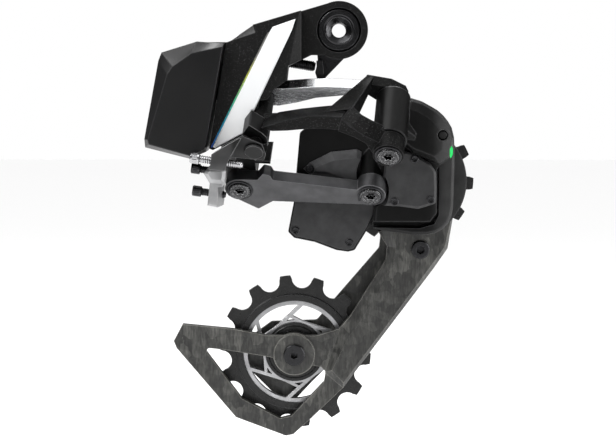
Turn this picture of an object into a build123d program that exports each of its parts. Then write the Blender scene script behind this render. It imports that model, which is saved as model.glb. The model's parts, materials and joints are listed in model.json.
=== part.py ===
from build123d import *
import math
import os

# Rear bicycle derailleur with a battery on its mounting knuckle and a motor in its moving knuckle.
# Millimetres. The origin is on the mounting bolt's axis at the hanger face,
# +X is forward, +Y is inboard (towards the wheel) and +Z is up.

# ---- driving dimensions -------------------------------------------------------------------------

# Parallelogram: pin axes rise inboard at SLANT degrees and lean forward at LEAN degrees.
SLANT = 45.0
LEAN = 5.0
LINK_ORIGIN = (-30.8, -30.0, -43.7)      # outer end of the upper rear pin
LINK_LENGTH = 48.7
PIN_OFFSET = (-6.8, -22.0)               # lower pins from the upper pins, in the link frame
PIN_R = 2.3
PIN_GAP = 0.05                           # running clearance on a pin
BUSH_R = 3.1
BARREL_R = 4.5                           # upper link's barrel on its rear pin
BARREL_FRONT = -12.6
BARREL_BACK = -26.6
LOBE_R = 5.6

# Mounting end
BOSS_R = 10.7
BOSS_FACE = -13.5
BOSS_BACK = -3.0
BOLT_HEAD_R = 7.9
BOLT_SHANK_R = 6.5
BOLT_SHOULDER_R = 5.4
BOLT_THREAD_R = 5.0
BOLT_THREAD = 8.5
BOLT_BORE_R = 2.65
WASHER_T = 2.6

# Knuckle body
KNUCKLE_FACE = -22.0
KNUCKLE_BACK = -3.0

# Cage and pulleys
CAGE_AXIS = (26.3, -56.5)
LOWER_AXIS = (-16.9, -123.5)
CHAIN_Y = 12.0                           # middle plane of the chain
OUTER_PLATE = (7.5, 2.5)                 # inner and outer face of the outer cage plate
INNER_PLATE = (18.5, 16.5)
CHAIN_PITCH = 12.7
TOOTH_W = 2.2
TOOTH_TIP = 1.0                          # tooth tip above the pitch circle
GAP_R = 3.9
GAP_MOUTH = 5.4
RIM_W = 4.4
RIM_H = 2.4
SPOKES = 6
CARRIER_W = 2.8

HOUSING_BACK = 1.8
CAGE_BUSH_R = 6.6
CAGE_AXLE_R = 5.6
GEAR_FACE = -14.0
MOTOR_FACE = -7.0


# ---- frames and helpers ---------------------------------------------------------------------------

def unit(v):
    n = math.sqrt(sum(c * c for c in v))
    return tuple(c / n for c in v)


lean = math.radians(LEAN)
slant = math.radians(SLANT)
PIN_DIR = (math.sin(lean), math.cos(lean) * math.cos(slant), math.cos(lean) * math.sin(slant))
OUTWARD = tuple(-c for c in PIN_DIR)
# The links lie across the pins, nearly level and slightly outboard at the front.
FORWARD = Vector(0.9955, -0.0881, -0.0351)
FORWARD = (FORWARD - Vector(*PIN_DIR) * FORWARD.dot(Vector(*PIN_DIR))).normalized()
LINK = Plane(origin=LINK_ORIGIN, x_dir=FORWARD, z_dir=OUTWARD)

PIN_D = (0, 0)
PIN_C = (LINK_LENGTH, 0)
PIN_A = PIN_OFFSET
PIN_B = (PIN_OFFSET[0] + LINK_LENGTH, PIN_OFFSET[1])


def side_plane(y):
    """Plane across the bicycle's width at y: local x is +X, local y is +Z, and it faces outboard."""
    return Plane(origin=(0, y, 0), x_dir=(1, 0, 0), z_dir=(0, -1, 0))


def slab(points, inner, outer, r=0):
    """Closed outline in X and Z, from the inner to the outer Y."""
    face = make_face(Polyline(*points, close=True))
    if r:
        face = fillet(face.vertices(), r)
    return extrude(side_plane(inner) * face, inner - outer)


def disc(centre, r, inner, outer):
    return extrude(side_plane(inner) * Pos(*centre) * Circle(r), inner - outer)


def ring(centre, r, bore, inner, outer):
    return disc(centre, r, inner, outer) - disc(centre, bore, inner + 1, outer - 1)


def link_slab(points, low, high, r=0):
    """Closed outline in the link frame, between two depths along the pins (0 is outermost)."""
    face = make_face(Polyline(*points, close=True))
    if r:
        face = fillet(face.vertices(), r)
    return extrude(LINK.offset(low) * face, high - low)


def link_disc(centre, r, low, high):
    return extrude(LINK.offset(low) * Pos(*centre) * Circle(r), high - low)


def link_bore(centre, r):
    return link_disc(centre, r, -60, 20)


def rod(start, end, r):
    """Round bar between two points."""
    a = Vector(*start)
    b = Vector(*end)
    plane = Plane(origin=a, z_dir=b - a)
    return extrude(plane * Circle(r), (b - a).length)


def hex_hole(start, end, across):
    a = Vector(*start)
    b = Vector(*end)
    plane = Plane(origin=a, z_dir=b - a)
    return extrude(plane * RegularPolygon(across / math.sqrt(3), 6), (b - a).length)


def save(shape, name):
    solids = shape.solids() if hasattr(shape, "solids") else shape
    if len(solids) > 1:
        shape = Compound(children=list(solids))
    else:
        shape = solids[0]
    shape.label = name
    export_step(shape, "parts/" + name + ".step")


def group(shapes):
    return Compound(children=[s for shape in shapes for s in shape.solids()])


# ---- mounting bolt and adjuster washer ------------------------------------------------------------

def mount_bolt():
    axis = (0, 0)
    head = disc(axis, BOLT_HEAD_R, -9.6, BOSS_FACE + 0.3)
    head = chamfer(head.edges().group_by(Axis.Y)[0], 0.5)
    shank = disc(axis, BOLT_SHANK_R, -WASHER_T, -9.6)
    shoulder = disc(axis, BOLT_SHOULDER_R, 0, -WASHER_T)
    thread = disc(axis, BOLT_THREAD_R, BOLT_THREAD, 0)
    thread = chamfer(thread.edges().group_by(Axis.Y)[-1], 0.7)
    bolt = head + shank + shoulder + thread
    bolt -= disc(axis, BOLT_BORE_R, BOLT_THREAD + 1, -20)
    socket = Cone(BOLT_BORE_R, 4.8, 1.8)
    bolt -= Pos(0, BOSS_FACE + 0.3 + 0.9, 0) * Rot(90, 0, 0) * socket
    bolt -= hex_hole((0, BOSS_FACE, 0), (0, -6, 0), 5.6)
    return bolt


def b_washer():
    axis = (0, 0)
    body = disc(axis, 9.2, 0, -WASHER_T)
    tab = slab([(-8.2, -7.6), (4.0, -8.3), (-5.3, -17.9), (-8.2, -17.9), (-8.9, -15.6), (-7.9, -11.4)],
               0, -WASHER_T)
    stop = slab([(-8.4, -11.2), (-6.2, -11.2), (-5.6, -16.2), (-8.2, -16.2)], -WASHER_T + 0.01, -8.4)
    return body + tab + stop - disc(axis, BOLT_SHOULDER_R + PIN_GAP, 1, -5)


def bolt_oring():
    return ring((0, 0), 8.1, 6.62, -2.62, -2.98)


# ---- knuckle on the mounting bolt -----------------------------------------------------------------

def link_pocket():
    """Room for the upper link's rear end and its swing."""
    pocket = link_disc(PIN_D, BARREL_R + 0.4, -33.4, BARREL_FRONT + 0.4)
    pocket += link_disc(PIN_D, 9.2, -33.4, BARREL_BACK)
    pocket += link_slab([(0, -30), (46, -30), (46, 7), (0, 7)], -33.4, BARREL_FRONT + 0.4)
    pocket += link_slab([(-2.6, 3), (0, -30), (46, -30), (46, 5.6), (-2.6, 5.6)], -15.4, BARREL_FRONT + 0.4)
    pocket += link_slab([(0.9, -30), (46, -30), (46, 19), (20, 19), (8, 10.5), (0.9, 8.5)], BARREL_FRONT - 0.6, 6)
    return pocket


PANEL_BACK = [(-41.1, -4.6), (-31.5, 1.9), (-15.7, 6.4)]        # top edge of the panel, behind its bevel
PANEL_FACE = [(-41.1, -4.6), (-31.0, -1.2), (-15.7, 4.2)]       # and in front of it
PANEL_LOW = [(-17.0, -0.4), (-22.5, -20.0), (-34.9, -38.0), (-45.6, -44.2), (-47.6, -43.4)]
BEVEL_START = -14.0


def knuckle_panel():
    panel = slab(PANEL_BACK + PANEL_LOW, KNUCKLE_BACK, BEVEL_START)
    back = side_plane(BEVEL_START) * make_face(Polyline(*PANEL_BACK, *PANEL_LOW, close=True))
    face = side_plane(KNUCKLE_FACE) * make_face(Polyline(*PANEL_FACE, *PANEL_LOW, close=True))
    return panel + loft([back, face], ruled=True)


def b_knuckle():
    panel = knuckle_panel()
    arm = slab([(-31.5, 1.8), (-3.3, 10.1), (0, 10.7), (6, 0), (3.5, -9.6), (-3.3, -9.2), (-10.3, -9.2),
                (-14.0, -11.0), (-18.6, -13.2), (-19.2, -18.5), (-24.0, -22.0)], -4.0, KNUCKLE_FACE)
    # The arm's outer face falls away from the panel to the boss.
    slope = Plane(origin=(-15.7, KNUCKLE_FACE, 0), x_dir=(0, 0, 1), z_dir=unit((0.62, -1.0, -0.12)))
    arm = split(arm, slope, keep=Keep.BOTTOM)
    face_cut = slab([(-14, 30), (30, 30), (30, -40), (-14, -40)], BOSS_FACE, -40)
    arm -= face_cut
    boss = disc((0, 0), BOSS_R, BOSS_BACK, BOSS_FACE)
    rear_lug = link_disc(PIN_D, 6.6, -38.0, -33.4)
    rear_lug += link_slab([(-9, -2), (-2, 5), (-2, 14), (-12, 14)], -38.0, -33.4)
    body = panel + arm + boss + rear_lug
    body -= link_pocket()
    body -= disc((0, 0), BOLT_HEAD_R + 0.3, -9.6, -30)
    body -= disc((0, 0), BOLT_SHANK_R + PIN_GAP, 5, -30)
    body -= link_bore(PIN_D, PIN_R)
    body -= b_screw_hole()
    body -= battery_socket()
    body -= latch_slot()
    body -= lower_bracket_room()
    return body - pin_hub()


def battery_socket():
    """Recess behind the panel that takes the contact block."""
    return slab([(-44.6, -12.0), (-37.5, -12.0), (-39.5, -26.0), (-47.2, -26.0)], -8.0, -17.0)


PARTING = [(-60, -47.6), (-46.5, -44.1), (-34.9, -38.2), (-27.5, -41.4), (-18, -41.4)]   # knuckle above, bracket below


def lower_bracket_room():
    return slab(PARTING + [(-18, -70), (-60, -70)], 10, -50)


STRIPE = [(-24.2, 1.0), (-15.9, 3.9), (-17.2, -0.2), (-35.0, -37.8), (-45.2, -43.1), (-46.3, -42.8),
          (-25.2, -0.6)]


def stripe_plate():
    plate = slab(STRIPE, KNUCKLE_FACE, KNUCKLE_FACE - 0.7)
    plate = chamfer(plate.edges().group_by(Axis.Y)[0], 0.3)
    return plate - link_pocket() - pin_hub()


# ---- bracket for the lower pins and the limit screws ------------------------------------------------

SCREW_DIR = unit((1.0, 0.0, -0.14))
LIMIT_R = 1.5
UPPER_LIMIT = (-53.9, -31.5, -46.2)
MIDDLE_LIMIT = (-54.9, -12.5, -51.0)
LOWER_LIMIT = (-54.4, -13.5, -59.3)


def along(start, distance):
    return tuple(s + distance * d for s, d in zip(start, SCREW_DIR))


def limit_screw(start, length):
    head = rod(start, along(start, 3.4), 2.0)
    head = chamfer(head.edges().sort_by(Axis.X)[0], 0.3)
    screw = head + rod(along(start, 3.4), along(start, length), LIMIT_R)
    return screw - hex_hole(along(start, -1), along(start, 2.2), 2.0)


def limit_hole(start):
    return rod(along(start, -4), along(start, 30), LIMIT_R)


def link_bracket():
    lug = link_slab([(-9.7, -4.1), (-3.4, 8.1), (3.0, 4.0), (4.2, -1.7), (3.4, -5.2)], -4.6, 0, 0.8)
    cheek = link_slab([(-13.5, -6.6), (-10, 6.5), (-3.9, 8.1), (-7.2, 0), (-7.2, -6.5)], -16, -0.6, 0.4)
    web = link_slab([(-13, -8), (-11, 4.5), (-7.3, 5.0), (-7.3, -6.6), (-1.2, -12), (-1.2, -20), (-12.3, -24)],
                    -20, -6.4)
    wall = link_slab([(-1.6, -12.6), (4.4, -12.6), (4.4, -14.0), (-1.6, -14.0)], -22, -6.4)
    body = lug + cheek + web + wall + screw_arm() + link_disc(PIN_A, LOBE_R, -20, -6.4)
    body -= link_slab([(-13.2, -34), (8, -34), (8, -12), (-13.2, -12)], -6.1, 20)
    body -= upper_mass()
    body += pin_hub()
    body -= link_disc(PIN_D, BARREL_R + 0.4, -40, BARREL_FRONT + 0.4)
    body -= link_bore(PIN_D, PIN_R)
    body -= link_bore(PIN_A, PIN_R)
    for start in (UPPER_LIMIT, MIDDLE_LIMIT, LOWER_LIMIT):
        body -= limit_hole(start)
    return body


def screw_arm():
    """Slanted arm and hanging tab that the limit screws are threaded through."""
    arm = slab([(-46.5, -49.0), (-46.0, -44.9), (-40.2, -41.4), (-34.8, -38.4), (-39.4, -46.1), (-40.7, -49.2),
                (-41.2, -51.0), (-47.4, -50.4)], -18, -34.4, 0.4)
    knee = slab([(-49.2, -52.0), (-47.0, -49.3), (-40.7, -48.6), (-41.4, -55.9), (-47.0, -55.6)], -12, -31)
    knee = chamfer(knee.edges().group_by(Axis.Y)[0], 1.4)
    tab = slab([(-47.0, -54.0), (-41.6, -54.0), (-43.1, -65.0), (-48.1, -64.0)], -8.5, -26.0)
    tab = chamfer(tab.edges().group_by(Axis.Y)[0], 0.7)
    return arm + knee + tab


HUB = [(-4.6, 3.6), (-1.8, 8.4), (2.6, 4.5), (4.4, 2.0), (4.6, -1.6), (2.6, -4.4), (0, -5.0), (-4.6, -2.0)]


def pin_hub():
    """Angular boss round the upper rear pin, between the lug and the upper link's barrel."""
    return link_slab(HUB, BARREL_FRONT + 0.4, -4.6, 0.5)


def pin_hub_swing():
    """Room that the upper link leaves round that boss."""
    return link_disc(PIN_D, 5.4, BARREL_FRONT, 0) + link_slab([(-9, 3), (-9, 9.5), (-1, 9.5), (3.2, 5.6), (2, 4)],
                                                             BARREL_FRONT, 0)


def upper_mass():
    """Everything above the joint between the knuckle and its bracket."""
    return slab(PARTING + [(-18, 40), (-60, 40)], 10, -60)


# ---- B adjuster screw -------------------------------------------------------------------------------

B_SCREW_R = 2.0
B_SCREW_HEAD = (-30.0, -6.2, -9.9)
B_SCREW_TIP = (-8.8, -6.2, -13.5)


def b_screw_hole():
    """Threaded hole that goes on past the screw's head, for the key and for the screw to back out."""
    head = Vector(*B_SCREW_HEAD)
    tip = Vector(*B_SCREW_TIP)
    return rod(head - (tip - head).normalized() * 20.0, tip, B_SCREW_R)


def b_screw():
    head = Vector(*B_SCREW_HEAD)
    tip = Vector(*B_SCREW_TIP)
    axis = (tip - head).normalized()
    body = rod(head, tip, B_SCREW_R)
    return body - hex_hole(head - axis, head + axis * 2.5, 2.5)


# ---- battery ----------------------------------------------------------------------------------------

BATTERY = [(-65.9, -11.3), (-64.7, -8.3), (-51.8, -4.3), (-41.9, -5.0), (-48.0, -41.1), (-48.6, -44.5),
           (-54.4, -47.1), (-70.9, -42.9), (-71.2, -39.8)]
BATTERY_FACE = [(-62.4, -16.2), (-60.4, -13.4), (-53.6, -8.6), (-42.2, -6.2), (-48.2, -40.8), (-49.0, -43.2),
                (-54.2, -45.8), (-69.2, -41.6), (-69.6, -40.0)]
BATTERY_BACK = -8.0
BATTERY_STEP = -23.6
BATTERY_FRONT = -28.0


def battery_pack():
    case = slab(BATTERY, BATTERY_BACK, BATTERY_STEP)
    low = make_face(Polyline(*BATTERY, close=True))
    high = make_face(Polyline(*BATTERY_FACE, close=True))
    nose = loft([side_plane(BATTERY_STEP) * low, side_plane(BATTERY_FRONT) * high], ruled=True)
    latch_seat = slab([(-51.6, -3.0), (-40.0, -3.0), (-40.0, -7.6), (-49.6, -7.4), (-51.6, -6.9)], -10.6, -19.4)
    return case + nose - latch_seat


def contact_block():
    block = slab([(-43.0, -12.3), (-37.9, -12.3), (-39.8, -25.7), (-45.25, -25.7)], -8.3, -16.7)
    return block - contact_pins()


def contact_pins():
    """Four sprung contacts that press on the battery's side."""
    pins = []
    for k in range(4):
        z = -14.8 - 2.8 * k
        side = -43.0 + 0.169 * (z + 12.3)
        pins.append(rod((side, -12.5, z), (side + 3.0, -12.5, z), 0.6))
    return group(pins)


LATCH_AXIS = (-39.2, -6.4)
LATCH_PIN_R = 0.8


def latch_slot():
    """Slot in the knuckle's top corner that the latch turns in, with its pin hole."""
    slot = disc(LATCH_AXIS, 2.3, -10.8, -19.2)
    slot += slab([(-48.0, -8.7), (-39.2, -8.7), (-37.0, -7.2), (-37.0, 8.0), (-48.0, 8.0)], -10.8, -19.2)
    return slot + disc(LATCH_AXIS, LATCH_PIN_R, -9.4, -20.6)


def battery_latch():
    """Lever that lies in the battery's top and hooks over it."""
    lever = slab([(-50.9, -4.5), (-50.6, -6.5), (-49.4, -6.9), (-41.0, -7.1), (-38.2, -7.9), (-37.7, -6.4),
                  (-38.6, -4.9), (-41.0, -4.5)], -11.0, -19.0, 0.3)
    return lever - disc(LATCH_AXIS, LATCH_PIN_R + PIN_GAP, 0, -40)


def latch_pin():
    return disc(LATCH_AXIS, LATCH_PIN_R, -9.4, -20.6)


# ---- links --------------------------------------------------------------------------------------------

BAR_TILT = 5.3                           # the bar's front face comes outboard towards the lobe
BAR_FRONT = [(2.0, 6.2), (6.4, 5.3), (12.0, 6.4), (17.8, 8.0), (24.5, 9.4), (30.7, 9.6), (36.0, 6.9),
             (38.0, 9.6), (35.2, 12.8), (32.1, 16.4), (26.5, 16.3), (20.1, 15.2), (12.4, 12.0)]
BAR_BACK = [(0.8, 2.2), (6.0, 2.5), (11.5, 3.6), (17.0, 5.0), (24.0, 6.0), (30.0, 6.0), (36.0, 4.0),
            (38.0, 6.6), (36.5, 10.0), (34.0, 13.0), (24.8, 11.4), (16.5, 9.7), (8.2, 7.4)]
ARM_LOW = [(30.7, 9.8), (36.2, 7.0), (40.5, 3.8), (43.8, -3.0), (49.5, -2.5)]
ARM_FRONT = [(52.2, 0.3), (45.6, 4.2), (40.1, 7.8), (35.2, 12.0), (32.1, 16.2)]
ARM_BACK = [(52.4, 1.6), (47.4, 6.2), (42.4, 9.2), (38.8, 11.9), (35.2, 16.6)]
ARM_LEVELS = (-8.5, -2.1)
LUG_BACK = -34.0
LUG_FRONT = -29.4


def upper_link():
    front = LINK.offset(-5.6) * Rot(0, -BAR_TILT, 0) * make_face(Polyline(*BAR_FRONT, close=True))
    back = LINK.offset(BARREL_FRONT) * make_face(Polyline(*BAR_BACK, close=True))
    bar = loft([back, front], ruled=True)
    front = LINK.offset(ARM_LEVELS[1]) * make_face(Polyline(*ARM_LOW, *ARM_FRONT, close=True))
    back = LINK.offset(ARM_LEVELS[0]) * make_face(Polyline(*ARM_LOW, *ARM_BACK, close=True))
    arm = loft([back, front], ruled=True)
    lobe = link_disc(PIN_C, LOBE_R, -7, 0)
    barrel = link_disc(PIN_D, BARREL_R, BARREL_BACK, BARREL_FRONT)
    web = link_slab([(-2.0, 2.6), (3.0, 4.0), (9.0, 4.6), (8.0, 2.4), (4.0, -1.0)], -15, BARREL_FRONT)
    rear = link_slab([(38.4, 1.5), (38.4, 6.8), (47.7, 5.0), (52.9, 1.6), (54.0, -1.5), (48.7, -5.4),
                      (43.0, -2.5)], LUG_BACK, LUG_FRONT, 0.6)
    body = bar + web + arm + lobe + barrel + fork_branch() + rear
    body -= link_disc(PIN_C, 6.9, LUG_FRONT, -7)
    body -= pin_hub_swing()
    body -= link_bore(PIN_C, BUSH_R)
    body -= link_bore(PIN_D, BUSH_R)
    return body


def fork_branch():
    """Diagonal plate that carries the link from its front bar to its inner lug."""
    low = LINK.offset(-7) * make_face(Polyline((24.5, 9.5), (25.5, 14.3), (35.4, 16.4), (37.0, 11.0), close=True))
    high = LINK.offset(-31) * make_face(Polyline((37.4, 3.8), (39.2, 9.6), (41.4, 8.8), (40.8, 3.8), close=True))
    return loft([high, low], ruled=True)


def upper_link_rear():
    band = link_slab([(0, 4.4), (9, 4.8), (16.8, 6.0), (24, 6.7), (38.3, 6.4), (38.3, 3.6), (30, 2.4), (20, 0.6),
                      (12, -2.6), (6, -4.4), (0, -4.4)], -31.4, -27)
    body = band + link_disc(PIN_D, BARREL_R, -31.4, -27)
    body -= link_bore(PIN_D, BUSH_R)
    return body - upper_link()


def lower_link():
    bar = link_slab([(-9.5, -17.2), (-6.9, -16.4), (0.2, -16.0), (2.4, -12.6), (4.9, -13.4), (5.8, -15.8),
                     (37.7, -19.4), (41.9, -19.6), (41.9, -27.3), (5.2, -27.6), (-0.5, -32.3), (-8.1, -27.2)],
                    -4.8, 0, 0.6)
    body = bar + link_disc(PIN_A, LOBE_R, -6, 0) + link_disc(PIN_B, LOBE_R, -6, 0)
    body -= link_slab([(9, -20.5), (36, -21.5), (36, -24.5), (9, -24.5)], -8, -3.5, 1.0)
    body -= link_bore(PIN_A, BUSH_R)
    body -= link_bore(PIN_B, BUSH_R)
    return body


def bush(centre, low, high):
    return link_disc(centre, BUSH_R, low, high) - link_bore(centre, PIN_R + PIN_GAP)


def upper_link_bushes():
    return group([bush(PIN_D, -31.4, -27), bush(PIN_D, BARREL_BACK, BARREL_FRONT), bush(PIN_C, -7, 0), bush(PIN_C, -34, -29.4)])


def lower_link_bushes():
    return group([bush(PIN_A, -6, 0), bush(PIN_B, -6, 0)])


def pin(centre, low, head_r):
    body = link_disc(centre, PIN_R, low, 0.3)
    head = link_disc(centre, head_r, 0.3, 1.1)
    head = chamfer(head.edges().group_by(Axis(LINK.origin, LINK.z_dir))[-1], 0.3)
    return body + head


def pin_socketed(centre, low, head_r):
    return pin(centre, low, head_r) - link_disc(centre, 1.4, 0.2, 3)


# ---- moving knuckle ---------------------------------------------------------------------------------

HOUSING = [(15.0, -46.0), (20.2, -37.3), (24.0, -27.0), (27.1, -25.2), (30.8, -26.3), (34.1, -28.1), (36.6, -29.6),
           (38.7, -31.5), (40.4, -33.6), (41.8, -36.0), (42.7, -39.6), (42.9, -44.0), (42.9, -50.0), (42.5, -65.6),
           (41.9, -68.8), (40.8, -71.4), (38.9, -73.6), (36.4, -75.0), (33.0, -75.8), (27.4, -75.9), (12.4, -73.6)]
DOME_LOW = [(20.0, -33.0), (23.0, -26.0), (27.1, -25.2), (30.8, -26.3), (34.1, -28.1), (36.6, -29.6), (38.7, -31.5),
            (40.4, -33.6), (41.8, -36.0), (42.7, -39.6), (42.6, -46.5), (37.5, -49.8), (27.5, -46.0), (21.5, -40.5)]
DOME_MID = [(19.8, -33.3), (22.8, -26.9), (26.8, -26.0), (30.3, -27.0), (33.5, -28.8), (35.8, -30.3), (37.8, -32.1),
            (39.4, -34.1), (40.7, -36.4), (41.5, -39.7), (41.4, -45.9), (37.0, -49.0), (27.5, -45.4), (21.7, -40.3)]
DOME_TOP = [(19.5, -34.0), (22.5, -29.4), (26.0, -28.9), (28.9, -29.8), (31.5, -31.3), (33.4, -32.6), (35.1, -34.2),
            (36.4, -35.9), (37.4, -37.8), (38.1, -40.2), (37.8, -44.0), (35.2, -46.4), (27.5, -43.4), (22.0, -39.6)]
DOME_LEVELS = (GEAR_FACE + 2, -17.8, -20.0)
GROOVE = [(10.0, -71.0), (10.0, -73.0), (30.0, -73.4), (35.5, -71.8), (37.1, -68.5), (37.1, -50.5), (36.4, -51.5),
          (36.4, -67.7), (33.9, -71.0)]
MOTOR_BOX = [(-14.6, -38.2), (-12.4, -36.4), (-2.0, -35.8), (20.0, -36.0), (20.0, -50.0), (15.0, -66.0), (11.0, -74.0), (6.0, -82.2),
             (3.5, -82.8), (-0.8, -82.2), (-9.1, -79.1), (-16.7, -77.6), (-19.0, -75.3), (-16.9, -64.3)]
GEAR_ROOM = [(20.0, -49.5), (26.5, -46.8), (32.6, -50.4), (34.4, -53.5), (34.4, -62.8), (29.0, -64.4), (20.0, -63.4)]
BOARD_ROOM = [(-9.0, -51.4), (-2.6, -48.0), (5.2, -47.2), (5.6, -56.4), (-5.0, -52.6)]
MOTOR_ROOM = [(-15.2, -65.2), (11.0, -65.2), (10.6, -68.0), (7.0, -73.5), (3.0, -79.8), (-8.5, -76.5), (-15.6, -75.0)]
SPRING_ROOM = (11.0, -6.2)                # radius and outer end
FLANGE_R = 22.0


def sweep_clearance():
    """Space that the lower link and the upper link's outer bar pass through."""
    lower = link_disc(PIN_B, LOBE_R + 1.0, -6.3, 6)
    lower += link_slab([(PIN_B[0], -28.6), (PIN_B[0], 40), (-60, 40), (-60, -28.6)], -6.3, 8)
    upper = link_disc(PIN_C, LOBE_R + 1.6, -7.4, 8)
    return lower + upper


def lug_clearance():
    """Space that the upper link's inner lug turns in."""
    x, y = PIN_C
    swing = link_slab([(x, y - 8), (x - 18, y - 8), (x - 18, y + 16), (x + 1.5, y + 16), (x + 1.5, y)], -35.0, -29.2)
    return swing + link_disc(PIN_C, 6.6, -35.0, -29.2)


def pivots():
    """The moving knuckle's barrel on the upper link and its lug on the lower link."""
    barrel = link_disc(PIN_C, 6.3, -29.0, -7.4)
    neck = link_slab([(PIN_C[0] - 4, -12), (PIN_C[0] + 6, -2), (PIN_C[0] + 9, -5), (PIN_C[0] + 7, -14)], -26, -14.5)
    return barrel + neck + link_disc(PIN_B, 4.6, -21, -6.4)


def dome():
    """Bulge that joins the barrel to the housing's rim."""
    outlines = (DOME_LOW, DOME_MID, DOME_TOP)
    faces = [side_plane(y) * make_face(Polyline(*pts, close=True)) for y, pts in zip(DOME_LEVELS, outlines)]
    return loft(faces, ruled=True)


def flange():
    """Round flange in front of the cage's hub, cut off level with the housing's lower rim."""
    plate = disc(CAGE_AXIS, FLANGE_R, HOUSING_BACK, HOUSING_BACK - 4.0)
    return plate - slab([(-20, -73.5), (60, -73.5), (60, -90), (-20, -90)], 10, -10)


def p_knuckle():
    body = slab(HOUSING, HOUSING_BACK, GEAR_FACE, 1.6)
    body = chamfer(body.edges().group_by(Axis.Y)[0], 1.0)
    body += slab(MOTOR_BOX, HOUSING_BACK, MOTOR_FACE, 1.0)
    body += flange()
    body -= slab(GROOVE, -9.0, -30)
    body += dome()
    body += pivots()
    body -= sweep_clearance()
    body -= lug_clearance()
    body -= slab([(-40, 20), (80, 20), (80, -120), (-40, -120)], 20, HOUSING_BACK)
    body -= slab(GEAR_ROOM, -6.9, GEAR_FACE, 1.0)
    body -= slab(BOARD_ROOM, -0.2, MOTOR_FACE, 1.0)
    body -= slab(MOTOR_ROOM, -0.2, MOTOR_FACE, 1.0)
    body -= disc(CAGE_AXIS, CAGE_BUSH_R, 20, SPRING_ROOM[1])
    body -= disc(CAGE_AXIS, SPRING_ROOM[0], 0.0, SPRING_ROOM[1])
    body -= link_disc(PIN_C, PIN_R, -60, 20)
    body -= link_disc(PIN_B, PIN_R, -21.5, 20)
    body -= disc(BUTTON, BUTTON_R + 0.15, -8, -30)
    body -= light_slot()
    for x, z, face in COVER_SCREWS:
        body -= disc((x, z), 1.9, face, -30)
    return body


BUTTON = (38.2, -38.6)
BUTTON_R = 1.8


def function_button():
    cap = disc(BUTTON, BUTTON_R, -11.0, -18.6)
    return chamfer(cap.edges().group_by(Axis.Y)[0], 0.5)


LIGHT = [(41.5, -42.4), (42.2, -43.6), (42.1, -46.0), (41.4, -47.2), (40.8, -46.0), (40.8, -43.8)]


def light_slot():
    return slab(LIGHT, -11.0, -30)


def status_light():
    return slab(LIGHT, -11.0, -15.0)


GEAR_COVER = [(17.0, -49.0), (24.4, -44.6), (27.3, -45.2), (33.8, -49.1), (35.8, -52.2), (36.1, -58.5), (35.9, -63.9),
              (29.4, -65.9), (22.6, -65.0), (15.4, -64.6)]
COVER_FACE = GEAR_FACE - 3.6


def gear_cover():
    cover = slab(GEAR_COVER, GEAR_FACE, COVER_FACE, 1.2)
    cover = chamfer(cover.edges().group_by(Axis.Y)[0], 0.8)
    return cover - sweep_clearance() - pivots() - dome()


MOTOR_COVER_T = 0.9
MOTOR_COVER = [(-16.2, -63.4), (-18.4, -74.9), (-16.2, -76.9), (-8.8, -78.4), (-0.6, -81.5), (3.2, -82.1), (5.6, -81.5),
               (10.4, -73.7), (13.4, -67.2), (13.4, -64.0)]
MOTOR_CAP = [(-13.3, -51.5), (-10.8, -49.2), (-2.9, -45.2), (6.7, -44.2), (13.4, -47.6), (14.2, -63.0),
             (7.2, -59.9), (-5.9, -54.3), (-11.1, -53.6)]
CAP_CREST = [(-9.4, -51.6), (-7.6, -50.4), (-1.6, -48.2), (6.6, -47.4), (11.8, -50.0), (12.4, -58.6),
             (7.0, -56.6), (-4.6, -52.6), (-8.2, -52.3)]
CAP_CREST_FACE = -10.4


def motor_cover():
    cover = slab(MOTOR_COVER, MOTOR_FACE, MOTOR_FACE - MOTOR_COVER_T, 0.8)
    cover -= slab(HOUSING, HOUSING_BACK, GEAR_FACE)
    return cover - sweep_clearance() - link_disc(PIN_B, LOBE_R + 0.4, -30, 20)


def motor_cap():
    """Leaf-shaped bulge over the circuit board."""
    low = slab(MOTOR_CAP, MOTOR_FACE, MOTOR_FACE - MOTOR_COVER_T)
    foot = side_plane(MOTOR_FACE - MOTOR_COVER_T) * make_face(Polyline(*MOTOR_CAP, close=True))
    crest = side_plane(CAP_CREST_FACE) * make_face(Polyline(*CAP_CREST, close=True))
    cap = low + loft([foot, crest], ruled=True)
    cap -= slab(HOUSING, HOUSING_BACK, GEAR_FACE)
    cap -= disc((-10.9, -51.6), 1.9, MOTOR_FACE - MOTOR_COVER_T, -30)
    return cap - sweep_clearance() - link_disc(PIN_B, LOBE_R + 0.4, -30, 20)


COVER_SCREWS = [(27.9, -47.4, COVER_FACE), (33.9, -62.5, COVER_FACE), (20.6, -63.2, COVER_FACE), (4.0, -79.4, -7.9),
                (-16.2, -74.8, -7.9), (-10.9, -51.6, -7.9)]


def cover_screws():
    screws = []
    for x, z, face in COVER_SCREWS:
        head = disc((x, z), 1.5, face, face - 0.6)
        head -= hex_hole((x, face, z), (x, face - 2, z), 1.4)
        screws.append(head)
    return group(screws)


# ---- drive inside the moving knuckle ------------------------------------------------------------------

MOTOR_END = Vector(-12.6, -3.6, -71.6)
MOTOR_AXIS = Vector(0.995, 0, 0.1).normalized()
MOTOR_CAN = 17.0
MOTOR_SHAFT_R = 0.8


def motor():
    face = MOTOR_END + MOTOR_AXIS * MOTOR_CAN
    can = rod(MOTOR_END, face, 3.1)
    return can + rod(face, face + MOTOR_AXIS * 4.0, MOTOR_SHAFT_R)


def motor_worm():
    start = MOTOR_END + MOTOR_AXIS * (MOTOR_CAN + 0.6)
    end = start + MOTOR_AXIS * 3.2
    return rod(start, end, 1.5) - rod(start - MOTOR_AXIS, end + MOTOR_AXIS, MOTOR_SHAFT_R)


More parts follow.
